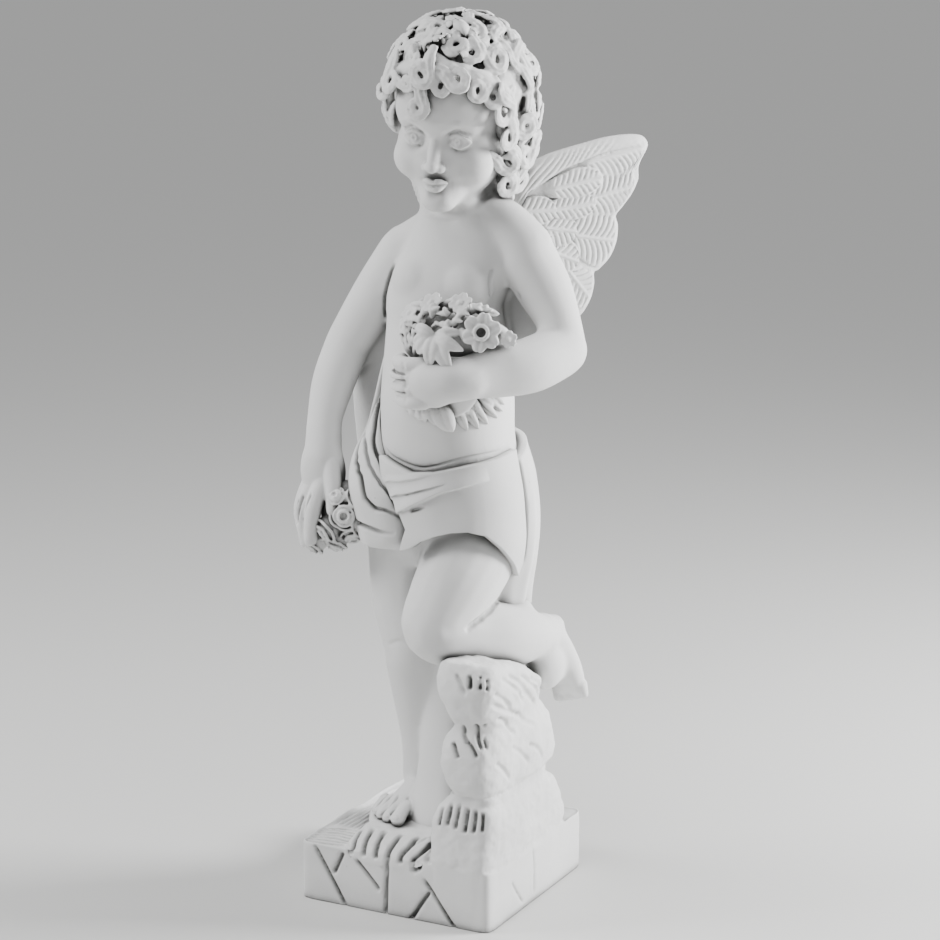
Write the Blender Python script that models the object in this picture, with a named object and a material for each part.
"""White cast-stone garden statue of a winged child with flowers, on a square plinth.

Metres, +Z up. The origin is the centre of the plinth's underside and the plinth's front faces -Y.
The figure, its rock and its plinth are one casting, so the model is one object.
"""

import math

import bmesh
import bpy
from mathutils import Euler, Matrix, Vector, noise

# Driving dimensions, in metres
FIGURE_HEIGHT = 0.728
PLINTH_WIDTH = 0.190
PLINTH_DEPTH = 0.190
PLINTH_HEIGHT = 0.052
PLINTH_EDGE_ROUND = 0.003
CRACK_WIDTH = 0.0045
CRACK_DEPTH = 0.0040
WING_THICKNESS = 0.010

# Fineness of the two fused skins, and the triangles that the finished casting keeps
BODY_VOXEL = 0.0034
SKIN_VOXEL = 0.0022
FIGURE_TRIANGLES = 9200

STONE_COLOUR = (0.80, 0.80, 0.79, 1.0)
STONE_ROUGHNESS = 0.75

# The figure's shapes are written in units of 1/728 of its height, measured from the plinth's top
UNIT = FIGURE_HEIGHT / 728.0
UPRIGHT = Matrix.Identity(4)

# Head: its centre, and how it bows, leans and turns, in degrees
HEAD_CENTRE = (14.0, -2.0, 647.0)
HEAD_TURN = (12.0, 4.0, 8.0)
HAIR_CENTRE = (2.0, 16.0, 12.0)
HAIR_RADII = (65.0, 64.0, 59.0)
CURL_RADIUS = 11.5
CURL_COUNT = 74

# Wings: the root on the back of each, and the angle between each wing and the line straight back
WING_ROOTS = {1: (40.0, 54.0, 528.0), -1: (-6.0, 52.0, 528.0)}
WING_SWEEP = 46.0
BACK_TURN = 3.0
WING_LENGTH = 134.0

# Wing outline and feathers, as shares of the wing's length outwards and upwards from its root
LEADING_EDGE = [(-0.06, -0.20), (0.00, 0.20), (0.08, 0.49), (0.35, 0.60), (0.66, 0.66),
                (0.92, 0.66)]
LOBE_TIPS = [(0.99, 0.57), (0.90, 0.30), (0.77, 0.00), (0.68, -0.19), (0.58, -0.38),
             (0.47, -0.53)]
TRAILING_ROOT = (0.16, -0.42)
LOBE_NOTCH = 0.93
INNER_TIPS = [(0.66, 0.42), (0.58, 0.21), (0.50, 0.02), (0.41, -0.13), (0.32, -0.26)]
INNER_WIDTH = 0.085

# Posy of flowers that the left hand presses to the belly
POSY_CENTRE = (38.0, -54.0, 434.0)

# Plinth cracks, as shares of the face's width and height, from its lower left corner
FRONT_CRACKS = [
    (0.06, 0.92, 0.23, 0.06), (0.22, 0.96, 0.17, 0.50), (0.30, 0.96, 0.43, 0.40),
    (0.47, 1.02, 0.46, 0.02), (0.64, 1.02, 0.83, 0.12), (0.71, 0.84, 0.60, 0.20),
]
SIDE_CRACKS = [(0.42, 1.00, 0.46, 0.20), (0.22, 0.60, 0.34, 0.22)]


def figure_point(x, y, z):
    """A point of the figure, from its table units to metres."""
    return Vector((x * UNIT, y * UNIT, z * UNIT + PLINTH_HEIGHT))


def smooth_rows(rows, steps):
    """Rows of numbers joined by a smooth curve that runs through every row."""
    ends = [rows[0]] + list(rows) + [rows[-1]]
    result = []
    for before, start, end, after in zip(ends, ends[1:], ends[2:], ends[3:]):
        for step in range(steps):
            t = step / steps
            weights = (
                (-t + 2 * t ** 2 - t ** 3) / 2,
                (2 - 5 * t ** 2 + 3 * t ** 3) / 2,
                (t + 4 * t ** 2 - 3 * t ** 3) / 2,
                (t ** 3 - t ** 2) / 2,
            )
            group = (before, start, end, after)
            result.append([sum(w * row[i] for w, row in zip(weights, group))
                           for i in range(len(start))])
    result.append(list(rows[-1]))
    return result


def loft(bm, rings):
    """Joins rings of points, in order, into one closed skin."""
    loops = [[bm.verts.new(point) for point in ring] for ring in rings]
    count = len(loops[0])
    for lower, upper in zip(loops, loops[1:]):
        for i in range(count):
            j = (i + 1) % count
            bm.faces.new((lower[i], lower[j], upper[j], upper[i]))
    bm.faces.new(list(reversed(loops[0])))
    bm.faces.new(loops[-1])


def oval(centre, half_width, half_depth, power=2.2, turn=0.0, sides=32):
    """A level ring with the outline of an ellipse, squarer where the power is higher."""
    ring = []
    for i in range(sides):
        angle = 2 * math.pi * i / sides
        x = math.copysign(abs(math.cos(angle)) ** (2 / power), math.cos(angle)) * half_width
        y = math.copysign(abs(math.sin(angle)) ** (2 / power), math.sin(angle)) * half_depth
        ring.append(centre + Matrix.Rotation(turn, 3, "Z") @ Vector((x, y, 0)))
    return ring


def stack(bm, sections, power=2.2, turn=0.0):
    """An upright form through level sections of (z, x, y, half width, half depth)."""
    rings = [
        oval(figure_point(x, y, z), width * UNIT, depth * UNIT, power, math.radians(turn))
        for z, x, y, width, depth in smooth_rows(sections, 3)
    ]
    loft(bm, rings)


def ball(bm, centre, radii, turn=(0, 0, 0), frame=UPRIGHT, detail=3):
    """An ellipsoid, with its centre and radii in table units and its turn in degrees."""
    place = Matrix.LocRotScale(
        figure_point(*centre), Euler([math.radians(angle) for angle in turn]),
        Vector(radii) * UNIT,
    )
    bmesh.ops.create_icosphere(bm, subdivisions=detail, radius=1.0, matrix=frame @ place)


def limb(bm, stations, frame=UPRIGHT, sides=12, steps=4):
    """A round limb with domed ends through stations of (x, y, z, radius)."""
    rows = smooth_rows(stations, steps)
    points = [frame @ figure_point(*row[:3]) for row in rows]
    radii = [row[3] * UNIT for row in rows]
    normal = (points[1] - points[0]).orthogonal()
    rings = []
    for i, point in enumerate(points):
        ahead = (points[min(i + 1, len(points) - 1)] - points[max(i - 1, 0)]).normalized()
        normal = (normal - ahead * normal.dot(ahead)).normalized()
        across = ahead.cross(normal)
        angles = [2 * math.pi * k / sides for k in range(sides)]
        rings.append(
            [point + (normal * math.cos(a) + across * math.sin(a)) * radii[i] for a in angles]
        )
    loft(bm, rings)
    for end in (0, -1):
        bmesh.ops.create_icosphere(
            bm, subdivisions=2, radius=radii[end], matrix=Matrix.Translation(points[end])
        )


def facing(centre, outward, frame=UPRIGHT):
    """A frame in table units whose Z axis looks outward from the centre."""
    direction = Vector(outward).normalized()
    turn = direction.to_track_quat("Z", "Y").to_matrix().to_4x4()
    home = figure_point(0, 0, 0)
    return frame @ Matrix.Translation(figure_point(*centre)) @ turn @ Matrix.Translation(-home)


def head_frame():
    """The leaning head's frame, with table units measured from the head's centre."""
    turn = Euler([math.radians(angle) for angle in HEAD_TURN]).to_matrix().to_4x4()
    home = figure_point(0, 0, 0)
    return Matrix.Translation(figure_point(*HEAD_CENTRE)) @ turn @ Matrix.Translation(-home)


def torso(bm):
    """Trunk from the crotch to the neck."""
    stack(bm, [
        (246, -2, 6, 40, 34), (262, -2, 6, 54, 44), (292, 0, 6, 63, 51), (335, 2, 4, 60, 50),
        (370, 3, -2, 59, 53), (410, 4, 0, 57, 51), (450, 6, 4, 55, 46), (490, 10, 7, 55, 42),
        (518, 13, 9, 56, 38), (540, 15, 10, 46, 31), (556, 15, 9, 31, 26), (572, 15, 6, 25, 24),
    ])


def head(bm):
    """Skull, neck and a calm child's face, without hair."""
    frame = head_frame()
    ball(bm, (0, 8, 12), (54, 60, 52), frame=frame, detail=4)
    ball(bm, (0, -12, -30), (48, 44, 48), frame=frame, detail=4)
    ball(bm, (0, -34, 8), (39, 23, 28), frame=frame)
    ball(bm, (0, -43, -74), (15, 13, 11), frame=frame)
    for side in (-1, 1):
        ball(bm, (side * 25, -32, -38), (20, 19, 21), frame=frame)
        ball(bm, (side * 18, -47, 5), (13, 8, 5), frame=frame)
        ball(bm, (side * 19, -50, -8), (8.5, 6, 5.5), frame=frame)
        ball(bm, (side * 5.5, -60, -30), (5, 5, 4), frame=frame)
    ball(bm, (0, -63, -28), (6, 8, 5.5), frame=frame)
    limb(bm, [(0, -50, 2, 6), (0, -56, -12, 5.5), (0, -62, -26, 6)], frame=frame)
    ball(bm, (0, -56, -45), (12, 7, 4), frame=frame)
    ball(bm, (0, -54, -52), (10, 7, 4.5), frame=frame)
    limb(bm, [(15, 9, 545, 29), (14, 8, 575, 28), (13, 6, 605, 28)])


def arms(bm):
    """Both arms to the wrist, with shoulders that run into the neck."""
    limb(bm, [(14, 14, 558, 17), (-14, 11, 542, 20), (-40, 8, 522, 23)])
    limb(bm, [(18, 14, 558, 20), (48, 13, 546, 23), (72, 13, 526, 25)])
    limb(bm, [(-38, 8, 521, 24), (-64, 6, 482, 23), (-95, 2, 435, 21)])
    limb(bm, [(-95, 2, 435, 21), (-102, -16, 398, 20), (-103, -36, 352, 15)])
    limb(bm, [(72, 13, 522, 26), (92, 15, 482, 23), (108, 11, 440, 22)])
    limb(bm, [(108, 11, 440, 22), (95, -30, 432, 21), (68, -70, 429, 16)])


def legs(bm):
    """The straight right leg, and the left leg that kneels on the rock."""
    limb(bm, [(-38, 8, 272, 38), (-37, 2, 215, 33), (-28, -5, 160, 25)])
    limb(bm, [(-28, -5, 160, 25), (-25, 6, 118, 23), (-23, 15, 72, 16), (-23, 17, 40, 15)])
    limb(bm, [(36, 2, 270, 39), (32, -28, 240, 38), (25, -48, 206, 31)])
    limb(bm, [(27, -48, 204, 30), (46, -18, 200, 29), (64, 12, 192, 24), (78, 38, 182, 17)])


def standing_foot(bm):
    """The right foot, with toes fanned outwards from the big toe."""
    limb(bm, [(-23, 32, 26, 13), (-25, 12, 30, 15), (-31, -14, 24, 13)])
    ball(bm, (-36, -22, 20), (21, 16, 10), turn=(0, 0, -28))
    tips = [(-20, -45, 18, 6.5), (-30, -43, 17, 5.2), (-38, -39, 17, 4.8), (-46, -33, 16, 4.4),
            (-52, -25, 16, 4.0)]
    for x, y, z, radius in tips:
        limb(bm, [(x - 1, y + 17, z + 3, radius), (x, y, z, radius)])


def hanging_foot(bm):
    """The left foot, which hangs behind the rock with its sole to the back."""
    limb(bm, [(76, 36, 183, 17), (77, 54, 182, 14), (81, 62, 168, 15), (87, 66, 140, 14)])
    for toe in range(5):
        x = 76 + toe * 6.5
        limb(bm, [(x, 64, 132, 6.5), (x + 3, 66, 115 + toe * 2.5, 5.2 - toe * 0.4)])


def left_hand(bm):
    """The hand that presses the posy to the belly."""
    ball(bm, (44, -84, 427), (26, 13, 20), turn=(0, 0, 20))
    for finger in range(4):
        z = 443 - finger * 10
        limb(bm, [(34, -92, z, 7.4), (20, -92, z, 6.8), (11, -82, z, 5.6)])


def right_hand(bm):
    """The hand that hangs down over the roses."""
    ball(bm, (-106, -42, 324), (19, 13, 26), turn=(0, -6, 20))
    for finger in range(4):
        x = -121 + finger * 9.5
        drop = 272 + abs(finger - 2) * 3
        limb(bm, [(x + 2, -50, 316, 6.4), (x, -54, 296, 5.8), (x + 2, -48, drop, 5.0)])
    limb(bm, [(-92, -44, 336, 8), (-81, -50, 318, 6.8), (-79, -50, 300, 5.6)])


def webs(bm):
    """Stone left between the limbs, so that the casting has no open gaps there."""
    stack(bm, [(512, 60, 28, 18, 12), (475, 78, 26, 30, 12), (440, 80, 24, 32, 12)])
    ball(bm, (80, 44, 152), (20, 22, 26))
    stack(bm, [(20, 2, 16, 42, 22), (90, 6, 16, 36, 15), (150, 8, 12, 38, 18),
               (230, 4, 8, 30, 26)])


def soft_forms():
    """Every soft form of the body in one working mesh."""
    bm = bmesh.new()
    for build in (torso, head, arms, legs, standing_foot, hanging_foot, left_hand, right_hand,
                  webs):
        build(bm)
    return bm


def hair(bm):
    """Cap of hair, covered in snail curls that leave the face free."""
    frame = head_frame()
    ball(bm, (2, 12, 26), (63, 60, 45), frame=frame, detail=4)
    ball(bm, (2, 30, -6), (57, 44, 50), frame=frame, detail=4)
    ball(bm, (2, 32, -46), (44, 26, 30), frame=frame)
    for side in (-1, 1):
        ball(bm, (2 + side * 46, 6, -2), (18, 32, 44), frame=frame)
        ball(bm, (2 + side * 38, 20, -48), (18, 28, 32), frame=frame)
    golden = math.pi * (3 - math.sqrt(5))
    for i in range(CURL_COUNT):
        height = 1 - 2 * (i + 0.5) / CURL_COUNT
        level = math.sqrt(1 - height ** 2)
        direction = Vector((level * math.cos(golden * i), level * math.sin(golden * i), height))
        place = Vector([c + r * d for c, r, d in zip(HAIR_CENTRE, HAIR_RADII, direction)])
        on_face = place.y < -8 and place.z < 34 and abs(place.x) < 56
        on_neck = place.z < -26 and place.y < 34
        if not (on_face or on_neck):
            curl(bm, place, direction, i, frame)
    for side in (-1, 1):
        for place in ((55, -20, 22), (60, -10, -4), (60, 0, -28), (54, 10, -50), (46, 24, -66)):
            outward = (side, -0.4, -0.1)
            curl(bm, (2 + side * place[0], place[1], place[2]), outward, side, frame)
    for place in ((-30, -46, 44), (-8, -52, 46), (14, -52, 47), (36, -42, 44)):
        curl(bm, place, (place[0] / 60, -1, 0.3), 1, frame)
    curl(bm, (-8, -56, 32), (0, -1, 0.1), 2, frame)


def curl(bm, place, outward, number, frame):
    """One snail curl: a thick strand wound round a dark hollow, turned by its number."""
    local = facing(place, outward, frame)
    way = 1 if number % 2 else -1
    strand = []
    for step in range(10):
        t = step / 9
        angle = way * 2.4 * math.pi * t + number * 2.1
        radius = CURL_RADIUS * (1 - 0.55 * t)
        strand.append((math.cos(angle) * radius, math.sin(angle) * radius, 3 + 2 * t,
                       CURL_RADIUS * (0.40 - 0.1 * t)))
    limb(bm, strand, frame=local, sides=8, steps=1)


def wing_frame(side):
    """The frame of one wing: X along the wing, Z up, in table units from its root."""
    turn = math.radians(90 + BACK_TURN - side * WING_SWEEP)
    home = figure_point(0, 0, 0)
    root = Matrix.Translation(figure_point(*WING_ROOTS[side]))
    return root @ Matrix.Rotation(turn, 4, "Z") @ Matrix.Translation(-home)


def lobed_outline():
    """The wing's outline: a smooth leading edge, then one rounded lobe for each feather."""
    points = [tuple(row) for row in smooth_rows(LEADING_EDGE, 3)]
    for tip, following in zip(LOBE_TIPS, LOBE_TIPS[1:] + [TRAILING_ROOT]):
        points.append(tip)
        bulge = [tip[i] * 0.62 + following[i] * 0.38 for i in (0, 1)]
        points.append((bulge[0] * 1.01, bulge[1]))
        notch = [tip[i] * 0.25 + following[i] * 0.75 for i in (0, 1)]
        points.append((notch[0] * LOBE_NOTCH, notch[1] * LOBE_NOTCH))
    points.append(TRAILING_ROOT)
    return [(x * WING_LENGTH, z * WING_LENGTH) for x, z in points]


def wing(bm, side):
    """One butterfly-shaped wing, with ribbed feathers that fan out from its root."""
    frame = wing_frame(side)
    half = WING_THICKNESS / UNIT / 2
    outline = lobed_outline()
    loft(bm, [[frame @ figure_point(x, y, z) for x, z in outline] for y in (half * 0.6, -half * 0.6)])
    ball(bm, (0.40 * WING_LENGTH, 0, 0.12 * WING_LENGTH), (50, half, 56), frame=frame)
    ball(bm, (4, 0, 4), (18, half + 6, 34), frame=frame)
    for face in (-1, 1):
        for reach, rise in LOBE_TIPS:
            rib = [(reach * WING_LENGTH * t, face * half * (1.1 - 0.5 * t ** 3),
                    rise * WING_LENGTH * t, 2.0) for t in (0.5, 0.75, 0.97)]
            limb(bm, rib, frame=frame, sides=6, steps=2)
    for reach, rise in INNER_TIPS:
        lift = math.degrees(math.atan2(rise, reach))
        length = math.hypot(reach, rise) * WING_LENGTH
        middle = (reach * WING_LENGTH * 0.6, 0, rise * WING_LENGTH * 0.6)
        ball(bm, middle, (length * 0.44, half + 2, INNER_WIDTH * WING_LENGTH),
             turn=(0, -lift, 0), frame=frame)


def blossom(bm, centre, outward, radius, petals, heart):
    """An open flower: a ring of petals round a small heart."""
    local = facing(centre, outward)
    for i in range(petals):
        angle = 360 * i / petals
        x = math.cos(math.radians(angle)) * radius * 0.6
        y = math.sin(math.radians(angle)) * radius * 0.6
        ball(bm, (x, y, 0), (radius * 0.48, radius * 0.30, 5), turn=(0, -14, angle),
             frame=local, detail=2)
    ball(bm, (0, 0, -3), (radius * 0.7, radius * 0.7, 5), frame=local, detail=2)
    ball(bm, (0, 0, 3), (heart, heart, heart * 0.8), frame=local, detail=2)


def leaf(bm, base, tip, width):
    """A pointed leaf from its base to its tip."""
    start, end = Vector(base), Vector(tip)
    local = facing((start + end) / 2, end - start)
    ball(bm, (0, 0, 0), (width, 4.5, (end - start).length / 2), frame=local, detail=2)


def posy(bm):
    """Flowers above the left hand, and a fringe of leaves below it."""
    x, y, z = POSY_CENTRE
    ball(bm, (x - 2, y + 2, z + 2), (50, 20, 50))
    ball(bm, (x + 34, y - 2, z + 28), (30, 18, 20))
    blossom(bm, (x - 3, y - 22, z + 28), (-0.1, -1, 0.25), 18, 7, 5)
    blossom(bm, (x + 38, y - 20, z + 34), (0.2, -1, 0.2), 14, 6, 6)
    blossom(bm, (x + 58, y - 14, z + 44), (0.4, -1, 0.4), 9, 5, 4)
    blossom(bm, (x + 4, y - 14, z + 48), (0, -1, 0.7), 11, 6, 4)
    blossom(bm, (x - 28, y - 12, z + 36), (-0.5, -1, 0.4), 11, 6, 4)
    blossom(bm, (x + 26, y - 10, z + 52), (0.1, -1, 0.8), 9, 5, 3)
    blossom(bm, (x - 42, y - 6, z + 16), (-0.9, -1, 0.1), 11, 6, 4)
    for i in range(8):
        along = -1 + 2 * i / 7
        base = (x + 32 * along, y - 14, z - 22 - 8 * (1 - along ** 2))
        tip = (x + 50 * along, y - 8, z - 36 - 20 * (1 - along ** 2))
        leaf(bm, base, tip, 8)
    for i in range(4):
        leaf(bm, (x - 34, y - 14, z - 20 + 12 * i), (x - 51, y - 4, z - 32 + 13 * i), 7)


def rose(bm, centre, outward, radius):
    """A full rose: a ball with a petal edge wound round it."""
    local = facing(centre, outward)
    ball(bm, (0, 0, -radius * 0.35), (radius, radius, radius * 0.9), frame=local, detail=2)
    strand = []
    for step in range(14):
        t = step / 13
        angle = 4.6 * math.pi * t
        strand.append((math.cos(angle) * radius * (0.85 - 0.7 * t),
                       math.sin(angle) * radius * (0.85 - 0.7 * t),
                       radius * (0.1 + 0.5 * t), radius * 0.17))
    limb(bm, strand, frame=local, sides=6, steps=1)


def hip_roses(bm):
    """The bunch of roses that hangs from the right hand."""
    ball(bm, (-78, -38, 292), (27, 22, 30), turn=(0, 20, 0))
    places = [(-90, -54, 276, 12), (-104, -50, 262, 11), (-68, -54, 292, 12), (-56, -44, 282, 10),
              (-60, -46, 308, 11), (-82, -44, 264, 10), (-68, -40, 272, 10), (-98, -28, 270, 11)]
    for x, y, z, radius in places:
        rose(bm, (x, y, z), (x + 78, y + 30, z - 292), radius)


def wrap(bm):
    """The cloth round the hips, with its front panel, back layer and folds."""
    stack(bm, [(352, 5, 3, 64, 54), (338, 5, 2, 67, 58), (318, 6, 1, 69, 60), (296, 8, 0, 71, 62),
               (276, 12, -2, 71, 62)], turn=3)
    stack(bm, [(358, 10, 14, 66, 46), (330, 12, 16, 70, 50), (290, 12, 18, 72, 50),
               (250, 12, 20, 66, 46), (222, 16, 22, 54, 38)], turn=3)
    stack(bm, [(300, -22, 6, 50, 48), (276, -24, 8, 50, 46), (258, -34, 8, 42, 36)], turn=3)
    ridges = [
        [(-58, -18, 346, 5), (-34, -44, 338, 5), (0, -56, 334, 5), (40, -56, 338, 5),
         (80, -36, 350, 4)],
        [(-66, -6, 336, 6), (-52, -34, 316, 6), (-30, -52, 306, 4), (0, -60, 306, 3)],
        [(-66, 0, 318, 6), (-52, -34, 296, 6), (-30, -54, 288, 6), (-4, -62, 304, 5),
         (31, -62, 324, 4), (72, -48, 338, 3)],
        [(-66, 6, 298, 6), (-54, -30, 276, 6), (-36, -46, 262, 5)],
        [(84, -34, 350, 4), (87, -22, 320, 4), (88, -20, 290, 4), (80, -24, 262, 4)],
        [(-20, -58, 272, 4), (10, -62, 281, 4), (38, -62, 286, 4), (62, -54, 284, 4),
         (82, -34, 266, 4)],
    ]
    for ridge in ridges:
        limb(bm, ridge, sides=10)
    for i in range(5):
        x = -40 + 24 * i
        limb(bm, [(x - 6, 54 - abs(x) * 0.10, 350, 3), (x, 66 - abs(x) * 0.12, 300, 5),
                  (x + 10, 66 - abs(x) * 0.16, 246, 5)], sides=10)


def curtain(bm):
    """The cloth that hangs from the shoulder behind the right arm and sweeps into the wrap."""
    stack(bm, [(514, -56, 10, 10, 12), (480, -68, 8, 20, 16), (440, -82, 5, 30, 20),
               (400, -87, 4, 33, 21), (350, -88, 4, 33, 20), (300, -74, 8, 28, 20),
               (262, -64, 10, 22, 18)], power=2.8)
    for i in range(4):
        limb(bm, [(-56 - 4 * i, -12, 430 - 10 * i, 3.5), (-64 - 7 * i, -17, 394, 5),
                  (-68 - 8 * i, -18, 350, 5.5), (-58 - 7 * i, -24, 312, 5.5),
                  (-44 - 6 * i, -36, 282, 5)])


def boulder(bm, centre, radii, seed):
    """A rough block of rock."""
    place = Matrix.Translation(figure_point(*centre)) @ Matrix.Diagonal(
        (*(r * UNIT for r in radii), 1)
    )
    made = bmesh.ops.create_icosphere(bm, subdivisions=4, radius=1.0)
    for vert in made["verts"]:
        rounded = vert.co / max(abs(c) for c in vert.co)
        shape = vert.co.lerp(rounded, 0.5)
        shape *= 1 + 0.09 * noise.noise(vert.co * 2.1 + Vector((seed, 0, 0)))
        vert.co = place @ shape


def rock(bm):
    """Three stacked boulders under the left knee, flush with the plinth's front right corner."""
    right = PLINTH_WIDTH / 2 / UNIT - 1
    front = -PLINTH_DEPTH / 2 / UNIT + 1
    boulder(bm, (right - 33, front + 88, 26), (35, 90, 42), 3)
    boulder(bm, (right - 31, front + 79, 88), (33, 80, 37), 5)
    boulder(bm, (right - 30, front + 68, 146), (31, 69, 35), 8)
    for i in range(7):
        x = right - 58 + 8.5 * i
        limb(bm, [(x, front + 8, 62, 3.2), (x - 1, front + 3, 48, 3.6), (x, front + 2, 36, 2.8)],
             sides=8)
    for i in range(5):
        y = front + 26 + 16 * i
        limb(bm, [(right - 10, y, 166, 4), (right - 2, y + 8, 150, 4.5),
                  (right - 3, y + 14, 130, 4)], sides=8)
    for i in range(3):
        x = right - 48 + 11 * i
        limb(bm, [(x, front + 10, 112, 3), (x + 7, front + 5, 98, 3.4)], sides=8)


def ground(bm):
    """The uneven rock on the plinth's top, with the mound and ledge that the foot stands on."""
    half_x = PLINTH_WIDTH / 2 / UNIT - 4
    half_y = PLINTH_DEPTH / 2 / UNIT - 4
    stack(bm, [(-8, 0, 0, half_x, half_y), (0, 0, 0, half_x, half_y),
               (3, 0, 1, half_x - 4, half_y - 5)], power=9)
    ball(bm, (-28, 2, 4), (42, 52, 14), detail=4)
    ball(bm, (10, 50, 4), (70, 36, 26), detail=4)
    for i in range(5):
        limb(bm, [(-56 + 11 * i, -50 + 1.5 * i, 12, 4), (-55 + 12 * i, -74, 4, 4.6)], sides=8)
    for i in range(4):
        limb(bm, [(-84, -80 + 7 * i, 2, 4), (-58, -78 + 8 * i, 3, 4)], sides=8)


def carved_forms():
    """Every carved form in one working mesh."""
    bm = bmesh.new()
    for build in (hair, posy, hip_roses, wrap, curtain, rock, ground):
        build(bm)
    wing(bm, 1)
    wing(bm, -1)
    return bm


def object_from(bm, name):
    """Turns finished mesh work into an object of the scene."""
    mesh = bpy.data.meshes.new(name)
    bm.to_mesh(mesh)
    bm.free()
    obj = bpy.data.objects.new(name, mesh)
    bpy.context.scene.collection.objects.link(obj)
    return obj


def bake(obj):
    """Replaces the object's mesh by what its modifiers make of it."""
    graph = bpy.context.evaluated_depsgraph_get()
    mesh = bpy.data.meshes.new_from_object(obj.evaluated_get(graph))
    obj.modifiers.clear()
    old = obj.data
    obj.data = mesh
    bpy.data.meshes.remove(old)
    return obj


def fused(obj, voxel, rounds):
    """One skin round everything in the object, then softened."""
    remesh = obj.modifiers.new("fuse", "REMESH")
    remesh.mode = "VOXEL"
    remesh.voxel_size = voxel
    soften = obj.modifiers.new("soften", "SMOOTH")
    soften.factor = 0.5
    soften.iterations = rounds
    return bake(obj)


def joined(first, second, name):
    """The two objects' meshes in one object."""
    bm = bmesh.new()
    for obj in (first, second):
        bm.from_mesh(obj.data)
        bpy.data.objects.remove(obj)
    return object_from(bm, name)


def keep_largest(obj):
    """Drops every loose island but the largest."""
    bm = bmesh.new()
    bm.from_mesh(obj.data)
    waiting = set(bm.verts)
    islands = []
    while waiting:
        island = {waiting.pop()}
        edge = list(island)
        while edge:
            vert = edge.pop()
            for link in vert.link_edges:
                other = link.other_vert(vert)
                if other not in island:
                    island.add(other)
                    edge.append(other)
        waiting -= island
        islands.append(island)
    islands.sort(key=len)
    small = [vert for island in islands[:-1] for vert in island]
    bmesh.ops.delete(bm, geom=small, context="VERTS")
    bm.to_mesh(obj.data)
    bm.free()


def slab(bm, start, end, across, width, depth):
    """A long thin block between two points, for one crack."""
    along = (end - start).normalized()
    side = across.cross(along).normalized()
    rows = Matrix((along, side, across)).transposed().to_4x4()
    place = Matrix.Translation((start + end) / 2) @ rows
    size = Matrix.Diagonal(((end - start).length, width, depth * 2, 1))
    bmesh.ops.create_cube(bm, size=1.0, matrix=place @ size)


def crack_cutter():
    """Every crack in the plinth's front and right faces."""
    bm = bmesh.new()
    left, front = -PLINTH_WIDTH / 2, -PLINTH_DEPTH / 2
    for x0, z0, x1, z1 in FRONT_CRACKS:
        slab(bm, Vector((left + x0 * PLINTH_WIDTH, front, z0 * PLINTH_HEIGHT)),
             Vector((left + x1 * PLINTH_WIDTH, front, z1 * PLINTH_HEIGHT)),
             Vector((0, -1, 0)), CRACK_WIDTH, CRACK_DEPTH)
    for y0, z0, y1, z1 in SIDE_CRACKS:
        slab(bm, Vector((-left, front + y0 * PLINTH_DEPTH, z0 * PLINTH_HEIGHT)),
             Vector((-left, front + y1 * PLINTH_DEPTH, z1 * PLINTH_HEIGHT)),
             Vector((1, 0, 0)), CRACK_WIDTH * 0.7, CRACK_DEPTH * 0.6)
    return object_from(bm, "crack_cutter")


def plinth():
    """The square plinth with rounded edges and cracked faces."""
    bm = bmesh.new()
    size = Matrix.Diagonal((PLINTH_WIDTH, PLINTH_DEPTH, PLINTH_HEIGHT, 1))
    bmesh.ops.create_cube(bm, size=1.0, matrix=Matrix.Translation((0, 0, PLINTH_HEIGHT / 2)) @ size)
    edges = [edge for edge in bm.edges if max(v.co.z for v in edge.verts) > PLINTH_HEIGHT / 2]
    bmesh.ops.bevel(bm, geom=edges, offset=PLINTH_EDGE_ROUND, segments=2, affect="EDGES",
                    profile=0.5)
    block = object_from(bm, "plinth_block")
    combine(block, crack_cutter(), "DIFFERENCE", crossing=True)
    return block


def combine(obj, other, operation, crossing=False):
    """Joins the other object to this one, or cuts it away, and removes the other.

    Crossing says that the other object's own pieces cross one another.
    """
    boolean = obj.modifiers.new("combine", "BOOLEAN")
    boolean.operation = operation
    boolean.solver = "EXACT"
    boolean.use_self = crossing
    boolean.object = other
    bake(obj)
    bpy.data.objects.remove(other)


def thinned(obj, triangles):
    """Fewer triangles, kept where the surface bends most."""
    decimate = obj.modifiers.new("thin", "DECIMATE")
    decimate.use_collapse_triangulate = True
    obj.data.calc_loop_triangles()
    decimate.ratio = triangles / len(obj.data.loop_triangles)
    return bake(obj)


def stone():
    """White matte cast stone."""
    material = bpy.data.materials.new("white_cast_stone")
    material.use_nodes = True
    shader = material.node_tree.nodes["Principled BSDF"]
    shader.inputs["Base Color"].default_value = STONE_COLOUR
    shader.inputs["Roughness"].default_value = STONE_ROUGHNESS
    shader.inputs["Metallic"].default_value = 0.0
    return material


def main():
    """Builds the statue."""
    for old in list(bpy.data.objects):
        bpy.data.objects.remove(old)
    body = fused(object_from(soft_forms(), "body"), BODY_VOXEL, 8)
    carving = object_from(carved_forms(), "carving")
    statue = fused(joined(body, carving, "angel_statue"), SKIN_VOXEL, 1)
    keep_largest(statue)
    thinned(statue, FIGURE_TRIANGLES)
    combine(statue, plinth(), "UNION")
    statue.data.materials.clear()
    statue.data.materials.append(stone())
    statue.data.shade_smooth()
    statue.data.set_sharp_from_angle(angle=math.radians(40))


if __name__ == "__main__":
    main()
